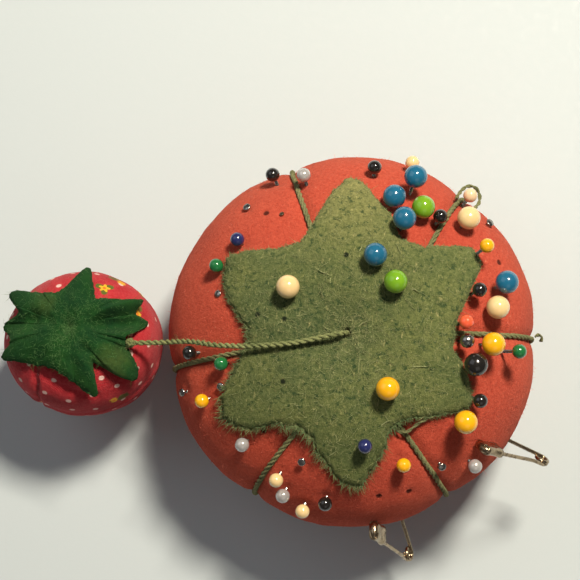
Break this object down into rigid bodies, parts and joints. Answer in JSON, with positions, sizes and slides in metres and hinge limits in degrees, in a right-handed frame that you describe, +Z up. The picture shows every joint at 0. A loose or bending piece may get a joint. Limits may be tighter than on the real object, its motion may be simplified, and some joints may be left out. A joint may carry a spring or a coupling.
{
  "type": "pin cushion",
  "caption": "Tomato pin cushion of red felt with a green felt star, section threads, a strawberry emery on a cord, ball-headed pins and safety pins.",
  "frame": {"origin": "middle of the cushion's base, on the flat underside of the thread knot", "axes": "+Z up, -X towards the strawberry, Y across"},
  "size_m": [0.1034, 0.0766, 0.0495],
  "materials": {
    "felt_red": "fuzzy wool felt, a little faded and soiled",
    "stuffing": "packed wadding, not visible",
    "felt_green": "dusty olive wool felt with frayed edges",
    "felt_dark_green": "dark green felt",
    "thread_green": "twisted cotton thread and cord, olive green",
    "cotton_red": "crimson printed cotton with small dots and flowers",
    "emery": "emery grit filling, not visible",
    "steel": "bright steel, slightly dulled",
    "brassed_steel": "plated steel wire with a warm tint",
    "cream": "glossy",
    "pale": "glossy, slightly translucent",
    "blue": "glossy",
    "navy": "glossy",
    "lime": "glossy",
    "green": "glossy",
    "yellow": "glossy",
    "black": "glossy",
    "coral": "glossy",
    "pearl": "pearl lacquer"
  },
  "bodies": {
    "cushion": {"cushion_cover": "felt_red", "cushion_stuffing": "stuffing", "section_thread": "thread_green", "leaf_star": "felt_green"},
    "cord": {"strawberry_cord": "thread_green"},
    "strawberry": {"strawberry_cover": "cotton_red", "emery_filling": "emery", "strawberry_leaf_cap": "felt_dark_green", "strawberry_knot": "thread_green"},
    "safety_pin_1": {"safety_pin_1_arm": "brassed_steel"},
    "safety_pin_1_guard": {"safety_pin_1_spine": "brassed_steel", "safety_pin_1_cap": "brassed_steel"},
    "safety_pin_2": {"safety_pin_2_arm": "brassed_steel"},
    "safety_pin_2_guard": {"safety_pin_2_spine": "brassed_steel", "safety_pin_2_cap": "brassed_steel"},
    "large_pin_cream_1": {"large_pin_cream_1": "cream"},
    "large_pin_blue_1": {"large_pin_blue_1": "blue"},
    "large_pin_lime_1": {"large_pin_lime_1": "lime"},
    "large_pin_blue_2": {"large_pin_blue_2": "blue"},
    "large_pin_blue_3": {"large_pin_blue_3": "blue"},
    "large_pin_blue_4": {"large_pin_blue_4": "blue"},
    "large_pin_lime_2": {"large_pin_lime_2": "lime"},
    "large_pin_cream_2": {"large_pin_cream_2": "cream"},
    "large_pin_blue_5": {"large_pin_blue_5": "blue"},
    "large_pin_cream_3": {"large_pin_cream_3": "cream"},
    "large_pin_yellow_1": {"large_pin_yellow_1": "yellow"},
    "large_pin_black_1": {"large_pin_black_1": "black"},
    "large_pin_yellow_2": {"large_pin_yellow_2": "yellow"},
    "large_pin_yellow_3": {"large_pin_yellow_3": "yellow"},
    "small_pin_black_1": {"small_pin_black_1": "black"},
    "small_pin_pearl_1": {"small_pin_pearl_1": "pearl"},
    "small_pin_navy_1": {"small_pin_navy_1": "navy"},
    "small_pin_green_1": {"small_pin_green_1": "green"},
    "small_pin_black_2": {"small_pin_black_2": "black"},
    "small_pin_green_2": {"small_pin_green_2": "green"},
    "small_pin_yellow_1": {"small_pin_yellow_1": "yellow"},
    "small_pin_pearl_2": {"small_pin_pearl_2": "pearl"},
    "small_pin_cream_1": {"small_pin_cream_1": "cream"},
    "small_pin_pearl_3": {"small_pin_pearl_3": "pearl"},
    "small_pin_cream_2": {"small_pin_cream_2": "cream"},
    "small_pin_black_3": {"small_pin_black_3": "black"},
    "small_pin_navy_2": {"small_pin_navy_2": "navy"},
    "small_pin_yellow_2": {"small_pin_yellow_2": "yellow"},
    "small_pin_black_4": {"small_pin_black_4": "black"},
    "small_pin_green_3": {"small_pin_green_3": "green"},
    "small_pin_coral_1": {"small_pin_coral_1": "coral"},
    "small_pin_steel_1": {"small_pin_steel_1": "steel"},
    "small_pin_pearl_4": {"small_pin_pearl_4": "pearl"},
    "small_pin_black_5": {"small_pin_black_5": "black"},
    "small_pin_cream_3": {"small_pin_cream_3": "cream"},
    "small_pin_black_6": {"small_pin_black_6": "black"},
    "small_pin_yellow_3": {"small_pin_yellow_3": "yellow"},
    "small_pin_black_7": {"small_pin_black_7": "black"},
    "small_pin_pale_1": {"small_pin_pale_1": "pale"},
    "steel_pin_1": {"steel_pin_1": "steel"},
    "steel_pin_2": {"steel_pin_2": "steel"},
    "steel_pin_3": {"steel_pin_3": "steel"},
    "steel_pin_4": {"steel_pin_4": "steel"},
    "steel_pin_5": {"steel_pin_5": "steel"},
    "steel_pin_6": {"steel_pin_6": "steel"}
  },
  "joints": [
    {"name": "cord_swing", "type": "hinge", "parent": "cushion", "child": "cord", "pos_m": [0, 0, 0.0426], "axis": [0, 0, 1], "range_deg": [-15, 0]},
    {"name": "strawberry_tilt", "type": "hinge", "parent": "cord", "child": "strawberry", "pos_m": [-0.0403, -0.0009, 0.0322], "axis": [0, 1, 0], "range_deg": [0, 65]},
    {"name": "safety_pin_1_pull", "type": "slide", "parent": "cushion", "child": "safety_pin_1", "axis": [0.8557, -0.4059, -0.3209], "range_m": [0, 0.018]},
    {"name": "safety_pin_1_open", "type": "hinge", "parent": "safety_pin_1", "child": "safety_pin_1_guard", "pos_m": [0.0354, -0.0224, 0.0216], "axis": [0.4924, 0.8293, 0.2643], "range_deg": [0, 60]},
    {"name": "safety_pin_2_pull", "type": "slide", "parent": "cushion", "child": "safety_pin_2", "axis": [0.2504, -0.8514, -0.4608], "range_m": [0, 0.018]},
    {"name": "safety_pin_2_open", "type": "hinge", "parent": "safety_pin_2", "child": "safety_pin_2_guard", "pos_m": [0.0105, -0.0403, 0.0139], "axis": [0.9405, 0.101, 0.3246], "range_deg": [0, 60]},
    {"name": "large_pin_cream_1_pull", "type": "slide", "parent": "cushion", "child": "large_pin_cream_1", "axis": [-0.1466, 0.1145, 0.9826], "range_m": [0, 0.031]},
    {"name": "large_pin_blue_1_pull", "type": "slide", "parent": "cushion", "child": "large_pin_blue_1", "axis": [0.0752, 0.1959, 0.9777], "range_m": [0, 0.031]},
    {"name": "large_pin_lime_1_pull", "type": "slide", "parent": "cushion", "child": "large_pin_lime_1", "axis": [0.126, 0.126, 0.984], "range_m": [0, 0.031]},
    {"name": "large_pin_blue_2_pull", "type": "slide", "parent": "cushion", "child": "large_pin_blue_2", "axis": [0.1987, 0.4569, 0.867], "range_m": [0, 0.031]},
    {"name": "large_pin_blue_3_pull", "type": "slide", "parent": "cushion", "child": "large_pin_blue_3", "axis": [0.1357, 0.3941, 0.909], "range_m": [0, 0.031]},
    {"name": "large_pin_blue_4_pull", "type": "slide", "parent": "cushion", "child": "large_pin_blue_4", "axis": [0.1551, 0.3045, 0.9398], "range_m": [0, 0.031]},
    {"name": "large_pin_lime_2_pull", "type": "slide", "parent": "cushion", "child": "large_pin_lime_2", "axis": [0.2191, 0.3646, 0.905], "range_m": [0, 0.031]},
    {"name": "large_pin_cream_2_pull", "type": "slide", "parent": "cushion", "child": "large_pin_cream_2", "axis": [0.3679, 0.3553, 0.8593], "range_m": [0, 0.031]},
    {"name": "large_pin_blue_5_pull", "type": "slide", "parent": "cushion", "child": "large_pin_blue_5", "axis": [0.4618, 0.15, 0.8742], "range_m": [0, 0.031]},
    {"name": "large_pin_cream_3_pull", "type": "slide", "parent": "cushion", "child": "large_pin_cream_3", "axis": [0.4319, 0.0762, 0.8987], "range_m": [0, 0.031]},
    {"name": "large_pin_yellow_1_pull", "type": "slide", "parent": "cushion", "child": "large_pin_yellow_1", "axis": [0.3949, -0.0311, 0.9182], "range_m": [0, 0.031]},
    {"name": "large_pin_black_1_pull", "type": "slide", "parent": "cushion", "child": "large_pin_black_1", "axis": [0.3425, -0.0854, 0.9356], "range_m": [0, 0.031]},
    {"name": "large_pin_yellow_2_pull", "type": "slide", "parent": "cushion", "child": "large_pin_yellow_2", "axis": [0.1047, -0.1441, 0.984], "range_m": [0, 0.031]},
    {"name": "large_pin_yellow_3_pull", "type": "slide", "parent": "cushion", "child": "large_pin_yellow_3", "axis": [0.3212, -0.2421, 0.9155], "range_m": [0, 0.031]},
    {"name": "small_pin_black_1_pull", "type": "slide", "parent": "cushion", "child": "small_pin_black_1", "axis": [-0.2561, 0.5491, 0.7956], "range_m": [0, 0.027]},
    {"name": "small_pin_pearl_1_pull", "type": "slide", "parent": "cushion", "child": "small_pin_pearl_1", "axis": [-0.1386, 0.5065, 0.851], "range_m": [0, 0.027]},
    {"name": "small_pin_navy_1_pull", "type": "slide", "parent": "cushion", "child": "small_pin_navy_1", "axis": [-0.3227, 0.2805, 0.904], "range_m": [0, 0.027]},
    {"name": "small_pin_green_1_pull", "type": "slide", "parent": "cushion", "child": "small_pin_green_1", "axis": [-0.3872, 0.2059, 0.8987], "range_m": [0, 0.027]},
    {"name": "small_pin_black_2_pull", "type": "slide", "parent": "cushion", "child": "small_pin_black_2", "axis": [-0.4829, -0.0508, 0.8742], "range_m": [0, 0.027]},
    {"name": "small_pin_green_2_pull", "type": "slide", "parent": "cushion", "child": "small_pin_green_2", "axis": [-0.357, -0.0824, 0.9305], "range_m": [0, 0.027]},
    {"name": "small_pin_yellow_1_pull", "type": "slide", "parent": "cushion", "child": "small_pin_yellow_1", "axis": [-0.4436, -0.1975, 0.8742], "range_m": [0, 0.027]},
    {"name": "small_pin_pearl_2_pull", "type": "slide", "parent": "cushion", "child": "small_pin_pearl_2", "axis": [-0.3125, -0.3236, 0.8931], "range_m": [0, 0.027]},
    {"name": "small_pin_cream_1_pull", "type": "slide", "parent": "cushion", "child": "small_pin_cream_1", "axis": [-0.2166, -0.4345, 0.8742], "range_m": [0, 0.027]},
    {"name": "small_pin_pearl_3_pull", "type": "slide", "parent": "cushion", "child": "small_pin_pearl_3", "axis": [-0.2087, -0.5039, 0.8381], "range_m": [0, 0.027]},
    {"name": "small_pin_cream_2_pull", "type": "slide", "parent": "cushion", "child": "small_pin_cream_2", "axis": [-0.1521, -0.5676, 0.8092], "range_m": [0, 0.027]},
    {"name": "small_pin_black_3_pull", "type": "slide", "parent": "cushion", "child": "small_pin_black_3", "axis": [-0.0731, -0.52, 0.851], "range_m": [0, 0.027]},
    {"name": "small_pin_navy_2_pull", "type": "slide", "parent": "cushion", "child": "small_pin_navy_2", "axis": [0.0472, -0.2982, 0.9533], "range_m": [0, 0.027]},
    {"name": "small_pin_yellow_2_pull", "type": "slide", "parent": "cushion", "child": "small_pin_yellow_2", "axis": [0.1588, -0.3741, 0.9137], "range_m": [0, 0.027]},
    {"name": "small_pin_black_4_pull", "type": "slide", "parent": "cushion", "child": "small_pin_black_4", "axis": [0.3677, -0.1873, 0.9109], "range_m": [0, 0.027]},
    {"name": "small_pin_green_3_pull", "type": "slide", "parent": "cushion", "child": "small_pin_green_3", "axis": [0.4829, -0.0508, 0.8742], "range_m": [0, 0.027]},
    {"name": "small_pin_coral_1_pull", "type": "slide", "parent": "cushion", "child": "small_pin_coral_1", "axis": [0.3186, 0.0279, 0.9475], "range_m": [0, 0.027]},
    {"name": "small_pin_steel_1_pull", "type": "slide", "parent": "cushion", "child": "small_pin_steel_1", "axis": [0.319, -0.0223, 0.9475], "range_m": [0, 0.027]},
    {"name": "small_pin_pearl_4_pull", "type": "slide", "parent": "cushion", "child": "small_pin_pearl_4", "axis": [0.4082, -0.4227, 0.8092], "range_m": [0, 0.027]},
    {"name": "small_pin_black_5_pull", "type": "slide", "parent": "cushion", "child": "small_pin_black_5", "axis": [0.0844, 0.5329, 0.842], "range_m": [0, 0.027]},
    {"name": "small_pin_cream_3_pull", "type": "slide", "parent": "cushion", "child": "small_pin_cream_3", "axis": [0.2216, 0.6089, 0.7616], "range_m": [0, 0.027]},
    {"name": "small_pin_black_6_pull", "type": "slide", "parent": "cushion", "child": "small_pin_black_6", "axis": [0.274, 0.3481, 0.8965], "range_m": [0, 0.027]},
    {"name": "small_pin_yellow_3_pull", "type": "slide", "parent": "cushion", "child": "small_pin_yellow_3", "axis": [0.3873, 0.242, 0.8896], "range_m": [0, 0.027]},
    {"name": "small_pin_black_7_pull", "type": "slide", "parent": "cushion", "child": "small_pin_black_7", "axis": [0.3633, 0.118, 0.9242], "range_m": [0, 0.027]},
    {"name": "small_pin_pale_1_pull", "type": "slide", "parent": "cushion", "child": "small_pin_pale_1", "axis": [0.4217, 0.492, 0.7616], "range_m": [0, 0.027]},
    {"name": "steel_pin_1_pull", "type": "slide", "parent": "cushion", "child": "steel_pin_1", "axis": [-0.3414, 0.437, 0.8321], "range_m": [0, 0.025]},
    {"name": "steel_pin_2_pull", "type": "slide", "parent": "cushion", "child": "steel_pin_2", "axis": [-0.3865, -0.1562, 0.909], "range_m": [0, 0.025]},
    {"name": "steel_pin_3_pull", "type": "slide", "parent": "cushion", "child": "steel_pin_3", "axis": [-0.5794, -0.1771, 0.7956], "range_m": [0, 0.025]},
    {"name": "steel_pin_4_pull", "type": "slide", "parent": "cushion", "child": "steel_pin_4", "axis": [-0.139, -0.3819, 0.9137], "range_m": [0, 0.025]},
    {"name": "steel_pin_5_pull", "type": "slide", "parent": "cushion", "child": "steel_pin_5", "axis": [0.2897, -0.4215, 0.8593], "range_m": [0, 0.025]},
    {"name": "steel_pin_6_pull", "type": "slide", "parent": "cushion", "child": "steel_pin_6", "axis": [0.5158, 0.4328, 0.7394], "range_m": [0, 0.025]}
  ]
}
